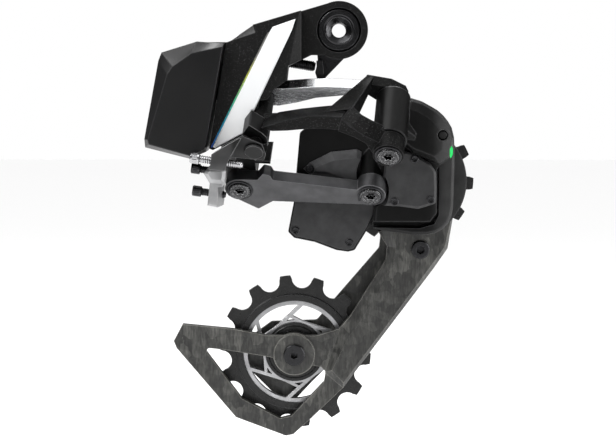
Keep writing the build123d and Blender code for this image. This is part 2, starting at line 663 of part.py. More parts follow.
def gear(centre, teeth, module, bore, inner, outer):
    root = module * (teeth - 2.3) / 2
    tip = module * (teeth + 2) / 2
    half = math.pi / teeth / 2
    blank = Circle(root)
    tooth = make_face(Polyline((root * 0.9 * math.cos(half), -root * 0.9 * math.sin(half)),
                               (tip * math.cos(half * 0.6), -tip * math.sin(half * 0.6)),
                               (tip * math.cos(half * 0.6), tip * math.sin(half * 0.6)),
                               (root * 0.9 * math.cos(half), root * 0.9 * math.sin(half)), close=True))
    for k in range(teeth):
        blank += Rot(0, 0, 360 * k / teeth) * tooth
    blank -= Circle(bore)
    return extrude(side_plane(inner) * Pos(*centre) * blank, inner - outer)


GEAR_1 = (27.0, -51.5)
GEAR_2 = (27.6, -58.4)
GEAR_3 = (31.9, -53.7)


def drive_gears():
    return group([gear(GEAR_1, 16, 0.4, 0.8, -7.4, -9.0), gear(GEAR_2, 24, 0.4, 0.8, -9.3, -10.9),
                  gear(GEAR_3, 8, 0.4, 0.8, -11.2, -12.8)])


def gear_shafts():
    shafts = []
    for x, z in (GEAR_1, GEAR_2, GEAR_3):
        shafts.append(rod((x, GEAR_FACE, z), (x, -7.0, z), 0.8))
    return group(shafts)


def circuit_board():
    return slab([(-6.2, -50.8), (-2.0, -48.8), (4.2, -48.2), (4.4, -55.2), (-4.6, -52.0)], -2.6, -3.8)


# ---- chain cage -----------------------------------------------------------------------------------------

CAGE_STOP = (31.2, -82.9)
HUB_R = 20.4


def cage_axle():
    """Hollow axle in the moving knuckle that carries the cage and its upper pulley."""
    body = disc(CAGE_AXIS, CAGE_AXLE_R, OUTER_PLATE[1], -1.4)
    body += disc(CAGE_AXIS, 4.0, INNER_PLATE[1], OUTER_PLATE[1])
    return body - disc(CAGE_AXIS, 2.5, 30, -14)


def cage_bush():
    return ring(CAGE_AXIS, CAGE_BUSH_R, CAGE_AXLE_R + PIN_GAP, HOUSING_BACK, 0.0)


def arm_outline():
    pts = [(43.6, -70.6), (41.6, -82.6), (36.1, -90.6), (23.6, -107.4), (1.8, -136.5), (-10.6, -148.5),
           (-17.3, -154.6), (-20.2, -155.2), (-39.4, -148.0), (-62.1, -121.2), (-63.2, -118.4), (-59.8, -112.0),
           (-40.4, -113.8), (-27.5, -116.3), (-8.3, -116.3), (0.1, -113.7), (4.6, -108.6), (18.0, -87.1),
           (18.6, -81.9), (15.0, -76.0)]
    return pts


def outer_face():
    """Outline of the outer plate: hub disc, arm, and a loop round the lower pulley."""
    outline = make_face(Polyline(*arm_outline(), close=True))
    outline += Pos(*CAGE_AXIS) * Circle(HUB_R)
    outline += Pos(*LOWER_AXIS) * Circle(8.2)
    window = make_face(Polyline((-52.0, -120.9), (-37.1, -140.8), (-22.4, -148.5), (-17.9, -147.4), (-5.5, -134.2),
                                (-4.9, -130.2), (-6.6, -128.4), (-28.6, -124.2), (-43.8, -121.8), close=True))
    window = fillet(window.vertices(), 1.2)
    window -= Pos(*LOWER_AXIS) * Circle(8.2)
    return outline - window


ARM_FOOT = [(43.6, -70.6), (41.6, -82.6), (23.6, -107.4), (1.8, -136.5), (-5.2, -130.5), (0.5, -114.0),
            (4.6, -108.6), (18.0, -87.1), (18.6, -81.9), (16.0, -75.0)]
ARM_CREST = [(42.8, -71.5), (40.4, -82.2), (22.8, -106.4), (2.0, -134.4), (-2.5, -129.5), (4.0, -116.5),
             (7.8, -111.5), (20.8, -90.0), (21.8, -82.2), (20.2, -74.5)]
PLATE_STEP = 1.5


def cage_outer_plate():
    thick = OUTER_PLATE[0] - OUTER_PLATE[1]
    body = extrude(side_plane(OUTER_PLATE[0]) * outer_face(), thick - PLATE_STEP)
    body += disc(CAGE_STOP, 5.4, OUTER_PLATE[0], OUTER_PLATE[1])
    body += disc(LOWER_AXIS, 7.8, OUTER_PLATE[0], OUTER_PLATE[1])
    body += disc(CAGE_AXIS, HUB_R - 1.0, OUTER_PLATE[0], OUTER_PLATE[1])
    foot = side_plane(OUTER_PLATE[1] + PLATE_STEP) * make_face(Polyline(*ARM_FOOT, close=True))
    crest = side_plane(OUTER_PLATE[1]) * make_face(Polyline(*ARM_CREST, close=True))
    body += loft([foot, crest], ruled=True)
    body -= disc(CAGE_AXIS, 4.0, 30, -30)
    body -= disc(LOWER_AXIS, 2.5, 30, -30)
    body -= disc(CAGE_STOP, 2.0, 30, -30)
    return body


def cage_inner_plate():
    pts = [(38.0, -60.0), (36.0, -74.0), (22.0, -96.0), (2.0, -124.0), (-10.0, -136.0), (-17.0, -143.5),
           (-22.0, -144.0), (-36.0, -130.0), (-35.0, -119.0), (-26.0, -112.5), (-8.3, -111.9), (-0.8, -102.8),
           (15.8, -83.6), (16.3, -79.2), (13.0, -62.0), (17.0, -50.0), (32.0, -47.0)]
    outline = make_face(Polyline(*pts, close=True))
    outline = fillet(outline.vertices(), 2.0)
    outline -= make_face(Polyline((28.5, -80), (31.5, -79), (18.5, -99.5), (15.5, -98.5), close=True))
    outline -= Pos(*LOWER_AXIS) * Circle(2.0)
    outline -= Pos(*CAGE_AXIS) * Circle(2.0)
    return extrude(side_plane(INNER_PLATE[0]) * outline, INNER_PLATE[0] - INNER_PLATE[1])


def cage_stop_screw():
    x, z = CAGE_STOP
    head = disc(CAGE_STOP, 3.5, OUTER_PLATE[1], OUTER_PLATE[1] - 1.4)
    head = chamfer(head.edges().group_by(Axis.Y)[0], 0.4)
    body = head + disc(CAGE_STOP, 2.0, OUTER_PLATE[0], OUTER_PLATE[1])
    return body - hex_hole((x, OUTER_PLATE[1] + 1.4, z), (x, OUTER_PLATE[1] - 3, z), 3.0)


def lower_pulley_bolt():
    x, z = LOWER_AXIS
    head = disc(LOWER_AXIS, 4.1, OUTER_PLATE[1], OUTER_PLATE[1] - 1.6)
    head = chamfer(head.edges().group_by(Axis.Y)[0], 0.4)
    body = head + disc(LOWER_AXIS, 2.5, INNER_PLATE[1], OUTER_PLATE[1]) + disc(LOWER_AXIS, 2.0, INNER_PLATE[0],
                                                                             INNER_PLATE[1])
    return body - hex_hole((x, OUTER_PLATE[1] + 1.5, z), (x, OUTER_PLATE[1] - 3, z), 2.6)


def upper_pulley_bolt():
    x, z = CAGE_AXIS
    head = disc(CAGE_AXIS, 4.4, INNER_PLATE[0] + 1.6, INNER_PLATE[0])
    body = head + disc(CAGE_AXIS, 2.0, INNER_PLATE[0], INNER_PLATE[1])
    return body - hex_hole((x, INNER_PLATE[0] + 3, z), (x, INNER_PLATE[0] - 0.6, z), 2.6)


def cage_spring():
    """Flat-wound spring between the moving knuckle and the cage axle, as a band of turns."""
    turns = []
    for r in (6.4, 7.9, 9.4):
        turns.append(ring(CAGE_AXIS, r + 0.9, r, -0.6, -5.6))
    return group(turns)


def axle_cap():
    return ring(CAGE_AXIS, 5.2, 1.0, -1.5, -2.6)


# ---- pulleys ----------------------------------------------------------------------------------------------

def toothed_ring(centre, teeth, start, inner_r):
    """Chain pulley rim: tall teeth with round gaps that open outwards, thinner than the rim under them."""
    pitch_r = CHAIN_PITCH / 2 / math.sin(math.pi / teeth)
    tip_r = pitch_r + TOOTH_TIP
    mouth = make_face(Polyline((pitch_r - 0.8, -GAP_R + 0.1), (tip_r + 1, -GAP_MOUTH), (tip_r + 1, GAP_MOUTH),
                               (pitch_r - 0.8, GAP_R - 0.1), close=True))
    face = Circle(tip_r)
    for k in range(teeth):
        angle = start + 360 * (k + 0.5) / teeth
        face -= Rot(0, 0, angle) * (Pos(pitch_r, 0) * Circle(GAP_R) + mouth)
    face -= Circle(inner_r)
    place = side_plane(CHAIN_Y + TOOTH_W / 2) * Pos(*centre)
    rim = ring(centre, inner_r + RIM_H, inner_r, CHAIN_Y + RIM_W / 2, CHAIN_Y - RIM_W / 2)
    return extrude(place * face, TOOTH_W) + rim


def bar_between(a, b, width):
    """Flat bar between two points given as radius and angle in degrees."""
    start = (a[0] * math.cos(math.radians(a[1])), a[0] * math.sin(math.radians(a[1])))
    end = (b[0] * math.cos(math.radians(b[1])), b[0] * math.sin(math.radians(b[1])))
    tilt = math.degrees(math.atan2(end[1] - start[1], end[0] - start[0]))
    middle = ((start[0] + end[0]) / 2, (start[1] + end[1]) / 2)
    return Pos(*middle) * Rot(0, 0, tilt) * Rectangle(math.dist(start, end), width)


def spoked_carrier(centre, outer_r, hub_r, start):
    """Alloy carrier: a thin ring and spokes swept to a tangent of the hub, each with a short branch."""
    face = Circle(outer_r) - Circle(outer_r - 1.6)
    face += Circle(hub_r + 0.9)
    for k in range(SPOKES):
        angle = start + 360 * k / SPOKES
        knee = (hub_r + 0.28 * (outer_r - hub_r), angle + 16)
        face += bar_between((outer_r - 0.8, angle), (hub_r + 0.3, angle + 62), 1.3)
        face += bar_between(knee, (hub_r + 0.4, angle - 26), 1.1)
    face -= Circle(hub_r)
    face = face & Circle(outer_r)
    return extrude(side_plane(CHAIN_Y + CARRIER_W / 2) * Pos(*centre) * face, CARRIER_W)


BEARING = (8.4, 6.6, 4.6)                 # outer radius, inside of the outer race, outside of the inner race
BALLS = 9


def pulley_hub(centre, outer_r):
    return ring(centre, outer_r, BEARING[0], CHAIN_Y + 2.2, CHAIN_Y - 2.2)


def outer_race(centre):
    return ring(centre, BEARING[0], BEARING[1], CHAIN_Y + 1.9, CHAIN_Y - 1.9)


def balls(centre):
    r = (BEARING[1] - BEARING[2]) / 2 - 0.04
    orbit = (BEARING[1] + BEARING[2]) / 2
    shapes = []
    for k in range(BALLS):
        a = 2 * math.pi * k / BALLS
        shapes.append(Pos(centre[0] + orbit * math.cos(a), CHAIN_Y, centre[1] + orbit * math.sin(a)) * Sphere(r))
    return group(shapes)


def inner_sleeve(centre, bore):
    """Inner race with the collars that clamp it between the cage plates."""
    return ring(centre, BEARING[2], bore, INNER_PLATE[1], OUTER_PLATE[0])


# ---- screws, seals and contacts on the knuckle ----------------------------------------------------------

def mounting_row():
    save(mount_bolt(), "mount_bolt")
    save(b_washer(), "b_washer")


def knuckle_row():
    save(b_knuckle(), "b_knuckle")
    save(bolt_oring(), "bolt_oring")
    save(stripe_plate(), "stripe_plate")
    save(link_bracket(), "link_bracket")
    save(b_screw(), "b_screw")
    save(limit_screw(UPPER_LIMIT, 19.4), "upper_limit_screw")
    save(limit_screw(MIDDLE_LIMIT, 11.0), "middle_limit_screw")
    save(limit_screw(LOWER_LIMIT, 12.6), "lower_limit_screw")
    save(battery_pack(), "battery_pack")
    save(contact_block(), "contact_block")
    save(contact_pins(), "contact_pins")
    save(battery_latch(), "battery_latch")
    save(latch_pin(), "latch_pin")
    save(pin(PIN_D, -38.0, 3.6), "upper_rear_pin")
    save(pin_socketed(PIN_A, -20, 4.0), "lower_rear_pin")


def link_row():
    save(upper_link(), "upper_link")
    save(upper_link_rear(), "upper_link_rear")
    save(upper_link_bushes(), "upper_link_bushes")
    save(lower_link(), "lower_link")
    save(lower_link_bushes(), "lower_link_bushes")


def moving_knuckle_row():
    save(p_knuckle(), "p_knuckle")
    save(gear_cover(), "gear_cover")
    save(motor_cover(), "motor_cover")
    save(motor_cap(), "motor_cap")
    save(cover_screws(), "cover_screws")
    save(pin_socketed(PIN_C, -34.6, 4.0), "upper_front_pin")
    save(pin_socketed(PIN_B, -21, 4.0), "lower_front_pin")
    save(function_button(), "function_button")
    save(status_light(), "status_light")
    save(motor(), "motor")
    save(motor_worm(), "motor_worm")
    save(drive_gears(), "drive_gears")
    save(gear_shafts(), "gear_shafts")
    save(circuit_board(), "circuit_board")
    save(cage_bush(), "cage_bush")
    save(cage_spring(), "cage_spring")


def cage_row():
    save(cage_outer_plate(), "cage_outer_plate")
    save(cage_inner_plate(), "cage_inner_plate")
    save(cage_axle(), "cage_axle")
    save(axle_cap(), "axle_cap")
    save(cage_stop_screw(), "cage_stop_screw")
    save(lower_pulley_bolt(), "lower_pulley_bolt")
    save(upper_pulley_bolt(), "upper_pulley_bolt")
    save(inner_sleeve(CAGE_AXIS, 4.0), "upper_bearing_sleeve")
    save(inner_sleeve(LOWER_AXIS, 2.5), "lower_bearing_sleeve")


def pulley_row(prefix, centre, teeth, start, carrier_r, hub_r):
    save(toothed_ring(centre, teeth, start, carrier_r), prefix + "_pulley_teeth")
    save(spoked_carrier(centre, carrier_r, hub_r, start - 17), prefix + "_pulley_carrier")
    save(pulley_hub(centre, hub_r), prefix + "_pulley_hub")
    save(outer_race(centre), prefix + "_bearing_race")
    save(balls(centre), prefix + "_bearing_balls")


os.makedirs("parts", exist_ok=True)
mounting_row()
knuckle_row()
link_row()
moving_knuckle_row()
cage_row()
pulley_row("lower", LOWER_AXIS, 14, 97.2, 19.9, 11.4)
pulley_row("upper", CAGE_AXIS, 12, 26.1, 15.8, 10.4)
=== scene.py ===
import json
import math

import bmesh
import bpy
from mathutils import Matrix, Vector


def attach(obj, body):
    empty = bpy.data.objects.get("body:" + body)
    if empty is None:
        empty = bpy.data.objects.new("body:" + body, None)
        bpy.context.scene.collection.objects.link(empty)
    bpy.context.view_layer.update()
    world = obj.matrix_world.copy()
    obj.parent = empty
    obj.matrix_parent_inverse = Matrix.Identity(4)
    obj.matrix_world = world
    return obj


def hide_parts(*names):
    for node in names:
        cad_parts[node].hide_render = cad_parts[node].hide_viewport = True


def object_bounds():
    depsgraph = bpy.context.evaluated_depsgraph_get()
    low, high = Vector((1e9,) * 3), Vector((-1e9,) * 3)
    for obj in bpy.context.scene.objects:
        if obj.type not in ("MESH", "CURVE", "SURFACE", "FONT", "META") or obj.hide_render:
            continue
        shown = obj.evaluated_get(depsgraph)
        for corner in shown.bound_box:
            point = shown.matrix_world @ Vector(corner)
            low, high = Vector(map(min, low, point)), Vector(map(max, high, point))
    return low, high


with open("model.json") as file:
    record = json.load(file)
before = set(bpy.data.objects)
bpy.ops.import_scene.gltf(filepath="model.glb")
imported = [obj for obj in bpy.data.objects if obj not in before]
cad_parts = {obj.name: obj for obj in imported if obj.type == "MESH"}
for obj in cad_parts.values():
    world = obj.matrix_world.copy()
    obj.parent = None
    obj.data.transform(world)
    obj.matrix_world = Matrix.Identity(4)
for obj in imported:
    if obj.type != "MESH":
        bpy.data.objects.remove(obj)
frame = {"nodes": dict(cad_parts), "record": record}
cad_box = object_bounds()

MM = 0.001


# ---- material helpers -----------------------------------------------------------------------------

class Shade:
    """A node material with object coordinates in millimetres."""

    def __init__(self, name, colour, roughness, metallic=0.0, **sockets):
        self.mat = bpy.data.materials.new(name)
        self.mat.use_nodes = True
        self.nodes = self.mat.node_tree.nodes
        self.links = self.mat.node_tree.links
        self.shader = self.nodes["Principled BSDF"]
        self.shader.inputs["Base Color"].default_value = (*colour, 1)
        self.shader.inputs["Roughness"].default_value = roughness
        self.shader.inputs["Metallic"].default_value = metallic
        for key, value in sockets.items():
            self.shader.inputs[key.replace("_", " ")].default_value = value
        coords = self.nodes.new("ShaderNodeTexCoord")
        scale = self.nodes.new("ShaderNodeMapping")
        scale.inputs["Scale"].default_value = (1000, 1000, 1000)
        self.links.new(coords.outputs["Object"], scale.inputs["Vector"])
        self.mm = scale.outputs["Vector"]
        self.normal = None

    def node(self, kind, **values):
        made = self.nodes.new(kind)
        for key, value in values.items():
            setattr(made, key, value)
        return made

    def placed(self, scale=(1, 1, 1), turn=(0, 0, 0)):
        made = self.node("ShaderNodeMapping")
        made.inputs["Scale"].default_value = scale
        made.inputs["Rotation"].default_value = [math.radians(a) for a in turn]
        self.links.new(self.mm, made.inputs["Vector"])
        return made.outputs["Vector"]

    def noise(self, size, detail=3, where=None):
        made = self.node("ShaderNodeTexNoise")
        made.inputs["Scale"].default_value = 1 / size
        made.inputs["Detail"].default_value = detail
        self.links.new(where or self.mm, made.inputs["Vector"])
        return made.outputs["Fac"]

    def cells(self, size, where=None):
        made = self.node("ShaderNodeTexVoronoi")
        made.inputs["Scale"].default_value = 1 / size
        self.links.new(where or self.mm, made.inputs["Vector"])
        return made.outputs["Color"]

    def grey(self, colour_socket):
        made = self.node("ShaderNodeSeparateColor")
        self.links.new(colour_socket, made.inputs["Color"])
        return made.outputs["Red"]

    def ramp(self, factor, *stops):
        made = self.node("ShaderNodeValToRGB")
        band = made.color_ramp
        while len(band.elements) < len(stops):
            band.elements.new(0.5)
        for element, (at, value) in zip(band.elements, stops):
            element.position = at
            element.color = (value, value, value, 1) if isinstance(value, (int, float)) else (*value, 1)
        self.links.new(factor, made.inputs["Fac"])
        return made.outputs["Color"]

    def mix(self, factor, a, b, blend="MIX"):
        made = self.node("ShaderNodeMix", data_type="RGBA", blend_type=blend)
        inputs = made.inputs
        for socket, value in ((inputs["Factor"], factor), (inputs["A"], a), (inputs["B"], b)):
            if isinstance(value, bpy.types.NodeSocket):
                self.links.new(value, socket)
            elif isinstance(value, (int, float)):
                socket.default_value = value
            else:
                socket.default_value = (*value, 1)
        return [s for s in made.outputs if s.type == "RGBA"][0]

    def calculate(self, operation, a, b=0.5):
        made = self.node("ShaderNodeMath", operation=operation)
        for socket, value in zip(made.inputs, (a, b)):
            if isinstance(value, bpy.types.NodeSocket):
                self.links.new(value, socket)
            else:
                socket.default_value = value
        return made.outputs["Value"]

    def colour(self, socket):
        self.links.new(socket, self.shader.inputs["Base Color"])

    def rough(self, socket):
        self.links.new(socket, self.shader.inputs["Roughness"])

    def bump(self, socket, depth, strength=1.0):
        """Relief of that depth in millimetres; calls stack."""
        made = self.node("ShaderNodeBump")
        made.inputs["Strength"].default_value = strength
        made.inputs["Distance"].default_value = depth * MM
        self.links.new(socket, made.inputs["Height"])
        if self.normal is not None:
            self.links.new(self.normal, made.inputs["Normal"])
        self.normal = made.outputs["Normal"]
        self.links.new(self.normal, self.shader.inputs["Normal"])

    def rounded(self, radius):
        """Softens sharp edges in the shading, in millimetres."""
        made = self.node("ShaderNodeBevel", samples=6)
        made.inputs["Radius"].default_value = radius * MM
        self.normal = made.outputs["Normal"]
        self.links.new(self.normal, self.shader.inputs["Normal"])
        facing = self.node("ShaderNodeVectorMath", operation="DOT_PRODUCT")
        self.links.new(made.outputs["Normal"], facing.inputs[0])
        self.links.new(self.node("ShaderNodeNewGeometry").outputs["True Normal"], facing.inputs[1])
        # self.edge marks the rounded edges, where a highlight is painted into the colour
        self.edge = self.ramp(facing.outputs["Value"], (0.9, 1.0), (0.995, 0.0))

    def highlight_edges(self, base, highlight_colour, amount=0.6, size=1.2):
        """Base colour with a painted highlight: a lighter, uneven line along the edges that rounded() found."""
        patches = self.ramp(self.noise(size), (0.25, amount * 0.5), (0.6, amount))
        uneven_highlight = self.calculate("MULTIPLY", self.edge, patches)
        self.colour(self.mix(uneven_highlight, base, highlight_colour))

    def radius(self, x, z):
        """Distance in millimetres from the crosswise line through x, z."""
        apart = self.node("ShaderNodeVectorMath", operation="SUBTRACT")
        self.links.new(self.mm, apart.inputs[0])
        apart.inputs[1].default_value = (x, 0, z)
        flat = self.node("ShaderNodeVectorMath", operation="MULTIPLY")
        self.links.new(apart.outputs["Vector"], flat.inputs[0])
        flat.inputs[1].default_value = (1, 0, 1)
        length = self.node("ShaderNodeVectorMath", operation="LENGTH")
        self.links.new(flat.outputs["Vector"], length.inputs[0])
        return length.outputs["Value"]

    def along(self, axis):
        made = self.node("ShaderNodeSeparateXYZ")
        self.links.new(self.mm, made.inputs["Vector"])
        return made.outputs[axis]

    def band(self, value, low, high, *stops):
        """Ramp over a range of a value in millimetres."""
        made = self.node("ShaderNodeMapRange")
        self.links.new(value, made.inputs["Value"])
        made.inputs["From Min"].default_value = low
        made.inputs["From Max"].default_value = high
        return self.ramp(made.outputs["Result"], *stops)


# ---- materials --------------------------------------------------------------------------------------

def sparkle_black(name, specular):
    s = Shade(name, (0.004, 0.004, 0.0042), 0.4, Specular_IOR_Level=specular)
    s.rounded(0.5)
    flakes = s.grey(s.cells(0.19))
    tone = s.ramp(flakes, (0.0, 0.002), (0.7, 0.0035), (0.9, 0.007), (0.97, 0.022), (1.0, 0.09))
    # The lighter line along the edges is a painted highlight
    s.highlight_edges(s.mix(0.2, tone, s.ramp(s.noise(7.0), (0.3, 0.002), (0.7, 0.004))), (0.06, 0.06, 0.062), 0.6)
    s.rough(s.ramp(flakes, (0.0, 0.46), (0.9, 0.4), (1.0, 0.25)))
    s.bump(s.noise(0.25, 2), 0.012, 0.35)
    return s.mat


def battery_black():
    s = Shade("battery_black", (0.006, 0.006, 0.006), 0.3, Specular_IOR_Level=0.25)
    s.rounded(0.7)
    base = s.ramp(s.noise(30.0, 2), (0.3, (0.005, 0.005, 0.0053)), (0.7, (0.008, 0.008, 0.0083)))
    # The lighter line along the edges is a painted highlight
    s.highlight_edges(base, (0.06, 0.06, 0.063), 0.5, 4.0)
    s.rough(s.ramp(s.noise(12.0, 4), (0.3, 0.3), (0.7, 0.38)))
    s.bump(s.noise(0.25, 2), 0.005, 0.35)
    return s.mat


def polished(name, colour, roughness):
    s = Shade(name, colour, roughness, 1.0)
    s.rounded(0.3)
    streaks = s.noise(1.0, 4, s.placed((0.25, 4.0, 4.0)))
    s.rough(s.ramp(streaks, (0.3, roughness * 0.8), (0.75, roughness * 1.5)))
    dull = tuple(c * 0.82 for c in colour)
    # The near-white line along the edges is a painted highlight
    s.highlight_edges(s.ramp(s.noise(8.0, 3), (0.3, dull), (0.7, colour)), (0.95, 0.95, 0.95), 0.5)
    s.bump(streaks, 0.004, 0.5)
    return s.mat


def satin_silver():
    """Bright satin plate with faint long lines."""
    s = Shade("silver_stripe", (0.7, 0.71, 0.72), 0.34, 0.12)
    s.rounded(0.2)
    lines = s.noise(0.8, 3, s.placed((3.0, 1.0, 0.12), (0, -26, 0)))
    # Painted reflection: the colour is lighter towards the plate's foot
    s.colour(s.band(s.along("Z"), -44.0, 6.0, (0.0, (0.96, 0.965, 0.97)), (0.45, (0.84, 0.85, 0.86)),
                    (1.0, (0.8, 0.81, 0.82))))
    s.rough(s.ramp(lines, (0.3, 0.3), (0.7, 0.4)))
    s.bump(lines, 0.003, 0.4)
    return s.mat


def anodised(name, colour, roughness, edge=0.4):
    s = Shade(name, colour, roughness, 0.85)
    s.rounded(edge)
    dark = tuple(c * 0.8 for c in colour)
    light = tuple(min(c * 1.25, 1) for c in colour)
    # The lighter line along the edges is a painted highlight
    s.highlight_edges(s.ramp(s.noise(6.0, 4), (0.3, dark), (0.7, light)), tuple(min(c * 3 + 0.03, 1) for c in colour))
    s.rough(s.ramp(s.noise(2.0, 5), (0.3, roughness * 0.85), (0.7, roughness * 1.15)))
    s.bump(s.noise(0.18, 2), 0.012, 0.5)
    return s.mat


def bracket_grey():
    """Light satin grey on the tab at the screws' end, with painted shade that darkens it above the tab and
    towards the pins.
    """
    s = Shade("grey_anodised", (0.2, 0.2, 0.203), 0.42, 0.55)
    s.rounded(0.35)
    # Painted shade: darker towards the pins
    tone = s.band(s.along("X"), -46.0, -30.0, (0.0, (0.33, 0.33, 0.335)), (0.42, (0.26, 0.26, 0.264)),
                  (0.5, (0.07, 0.07, 0.071)), (1.0, (0.035, 0.035, 0.036)))
    # Painted shade: darker above the tab
    shade_above_tab = s.band(s.along("Z"), -54.0, -48.0, (0.0, 1.0), (0.4, 1.0), (0.5, 0.3), (1.0, 0.16))
    tone = s.mix(1.0, tone, shade_above_tab, "MULTIPLY")
    patches = s.ramp(s.noise(5.0, 4), (0.3, 0.8), (0.7, 1.15))
    # The lighter line along the edges is a painted highlight
    s.highlight_edges(s.mix(1.0, tone, patches, "MULTIPLY"), (0.36, 0.36, 0.365), 0.6)
    s.rough(s.ramp(s.noise(2.0, 5), (0.3, 0.36), (0.7, 0.48)))
    s.bump(s.noise(0.18, 2), 0.01, 0.5)
    return s.mat


def steel(name, colour, roughness=0.22, edge=None):
    s = Shade(name, colour, roughness, 1.0)
    s.rounded(0.15)
    # The lighter line along the edges is a painted highlight
    s.highlight_edges(s.ramp(s.noise(1.6, 4), (0.3, tuple(c * 0.8 for c in colour)), (0.7, colour)),
           edge or tuple(min(c * 1.6 + 0.04, 1) for c in colour), 0.8 if edge else 0.5, 0.8)
    s.rough(s.ramp(s.noise(0.7, 4), (0.3, roughness * 0.7), (0.7, roughness * 1.3)))
    s.bump(s.noise(0.12, 3), 0.004, 0.4)
    return s.mat


LATHE_RINGS = 26.0                        # radians of the ring pattern in each millimetre


def turned_steel(name, colour, x, z):
    """Steel head with the fine rings that a lathe leaves, round a crosswise line."""
    s = Shade(name, colour, 0.26, 1.0)
    s.rounded(0.25)
    r = s.radius(x, z)
    dull = tuple(c * 0.8 for c in colour)
    # The lighter line along the edges is a painted highlight
    s.highlight_edges(s.ramp(s.noise(2.4, 4), (0.3, dull), (0.7, colour)), (0.3, 0.3, 0.31), 0.5)
    s.bump(s.calculate("SINE", s.calculate("MULTIPLY", r, LATHE_RINGS)), 0.006, 0.5)
    grooves = s.band(r, 5.0, 8.2, (0.0, 1.0), (0.1, 0.0), (0.14, 0.0), (0.24, 1.0), (0.7, 1.0), (0.78, 0.2),
                     (0.84, 1.0))
    s.bump(grooves, 0.12, 0.8)
    return s.mat


def moulded(name, colour, roughness, grain=0.02, grain_size=0.3):
    s = Shade(name, colour, roughness, Specular_IOR_Level=0.25)
    s.rounded(0.4)
    dark = tuple(c * 0.75 for c in colour)
    light = tuple(c * 1.3 for c in colour)
    # The lighter colour along the edges is a painted highlight
    edge_highlight_colour = tuple(min(c * 3 + 0.03, 1) for c in colour)
    s.highlight_edges(s.ramp(s.noise(5.0, 4), (0.3, dark), (0.7, light)), edge_highlight_colour, 0.45)
    s.rough(s.ramp(s.noise(1.5, 4), (0.3, roughness * 0.85), (0.7, roughness * 1.15)))
    s.bump(s.noise(grain_size, 2), grain, 0.5)
    return s.mat


def housing_black():
    """Smooth resin with a painted highlight that makes it lighter along the rounded rim at the cage's side."""
    s = Shade("housing_black", (0.0035, 0.0035, 0.0036), 0.32, Specular_IOR_Level=0.14)
    s.rounded(0.9)
    # Painted highlight: lighter towards the rim at the cage's side
    base = s.band(s.along("X"), 32.0, 40.0, (0.0, 0.0032), (0.3, 0.006), (1.0, 0.035))
    patches = s.ramp(s.noise(5.0, 4), (0.3, 0.8), (0.7, 1.2))
    # The lighter line along the edges is a painted highlight
    s.highlight_edges(s.mix(1.0, base, patches, "MULTIPLY"), (0.07, 0.07, 0.072), 0.5)
    s.rough(s.ramp(s.noise(1.5, 4), (0.3, 0.28), (0.7, 0.38)))
    s.bump(s.noise(0.3, 2), 0.008, 0.5)
    return s.mat


def pulley_resin(name, x, z, steps):
    """Moulded pulley rim with shallow turned steps round its axis."""
    s = Shade(name, (0.008, 0.008, 0.0082), 0.3, Specular_IOR_Level=0.35)
    s.rounded(0.3)
    # The lighter line along the edges is a painted highlight
    s.highlight_edges(s.ramp(s.noise(3.0, 4), (0.3, 0.006), (0.7, 0.012)), (0.12, 0.12, 0.125), 0.55, 0.9)
    r = s.radius(x, z)
    for at in steps:
        s.bump(s.band(r, at - 0.3, at + 0.3, (0.0, 0.0), (0.45, 1.0), (0.55, 1.0), (1.0, 0.2)), 0.25, 1.0)
    s.rough(s.ramp(s.noise(0.8, 4), (0.3, 0.24), (0.7, 0.4)))
    s.bump(s.noise(0.2, 2), 0.008, 0.4)
    return s.mat


def chopped_carbon():
    """Short flat bundles of fibre that lie at all angles: three layers of bent cells."""
    s = Shade("chopped_carbon", (0.04, 0.038, 0.032), 0.4)
    s.rounded(0.5)
    warp = s.node("ShaderNodeTexNoise")
    warp.inputs["Scale"].default_value = 1 / 5.0
    s.links.new(s.mm, warp.inputs["Vector"])
    layers = []
    for size, stretch, turn in ((3.4, (1, 1, 0.36), 38), (2.6, (0.36, 1, 1), -20), (1.5, (1, 1, 0.45), 80)):
        bent = s.node("ShaderNodeVectorMath", operation="MULTIPLY_ADD")
        s.links.new(warp.outputs["Color"], bent.inputs[0])
        bent.inputs[1].default_value = (3.0, 3.0, 3.0)
        s.links.new(s.placed(stretch, (0, turn, 0)), bent.inputs[2])
        layers.append(s.grey(s.cells(size, bent.outputs["Vector"])))
    first = s.ramp(layers[0], (0.0, (0.005, 0.005, 0.0045)), (0.5, (0.02, 0.0198, 0.018)),
                   (0.78, (0.042, 0.0416, 0.038)), (1.0, (0.09, 0.089, 0.081)))
    dark = (0.006, 0.006, 0.0055)
    grey = (0.02, 0.0198, 0.018)
    second = s.ramp(layers[1], (0.0, dark), (0.6, grey), (1.0, (0.07, 0.0693, 0.063)))
    third = s.ramp(layers[2], (0.0, dark), (0.6, grey), (1.0, (0.055, 0.0545, 0.05)))
    fibres = s.ramp(s.noise(0.7, 4, s.placed((1, 1, 0.2), (0, 50, 0))), (0.3, 0.45), (0.7, 1.6))
    tone = s.mix(0.3, s.mix(0.35, first, second), third)
    # The light line along the edges is a painted highlight
    s.highlight_edges(s.mix(1.0, tone, fibres, "MULTIPLY"), (0.26, 0.255, 0.23), 0.8, 2.0)
    s.rough(s.ramp(layers[1], (0.0, 0.32), (1.0, 0.48)))
    s.bump(layers[0], 0.012, 0.3)
    return s.mat


def colour_film():
    """Strip whose thin-film colour runs from yellow at its top to blue at its foot."""
    s = Shade("colour_film", (0.2, 0.6, 0.5), 0.22, 0.6)
    s.colour(s.band(s.along("Z"), -42.5, -8.0, (0.0, (0.05, 0.12, 0.5)), (0.25, (0.04, 0.42, 0.62)),
                    (0.5, (0.12, 0.62, 0.34)), (0.75, (0.62, 0.66, 0.12)), (0.95, (0.32, 0.32, 0.3))))
    s.rough(s.ramp(s.noise(0.8), (0.3, 0.16), (0.7, 0.3)))
    s.bump(s.noise(0.3, 2), 0.004, 0.4)
    return s.mat


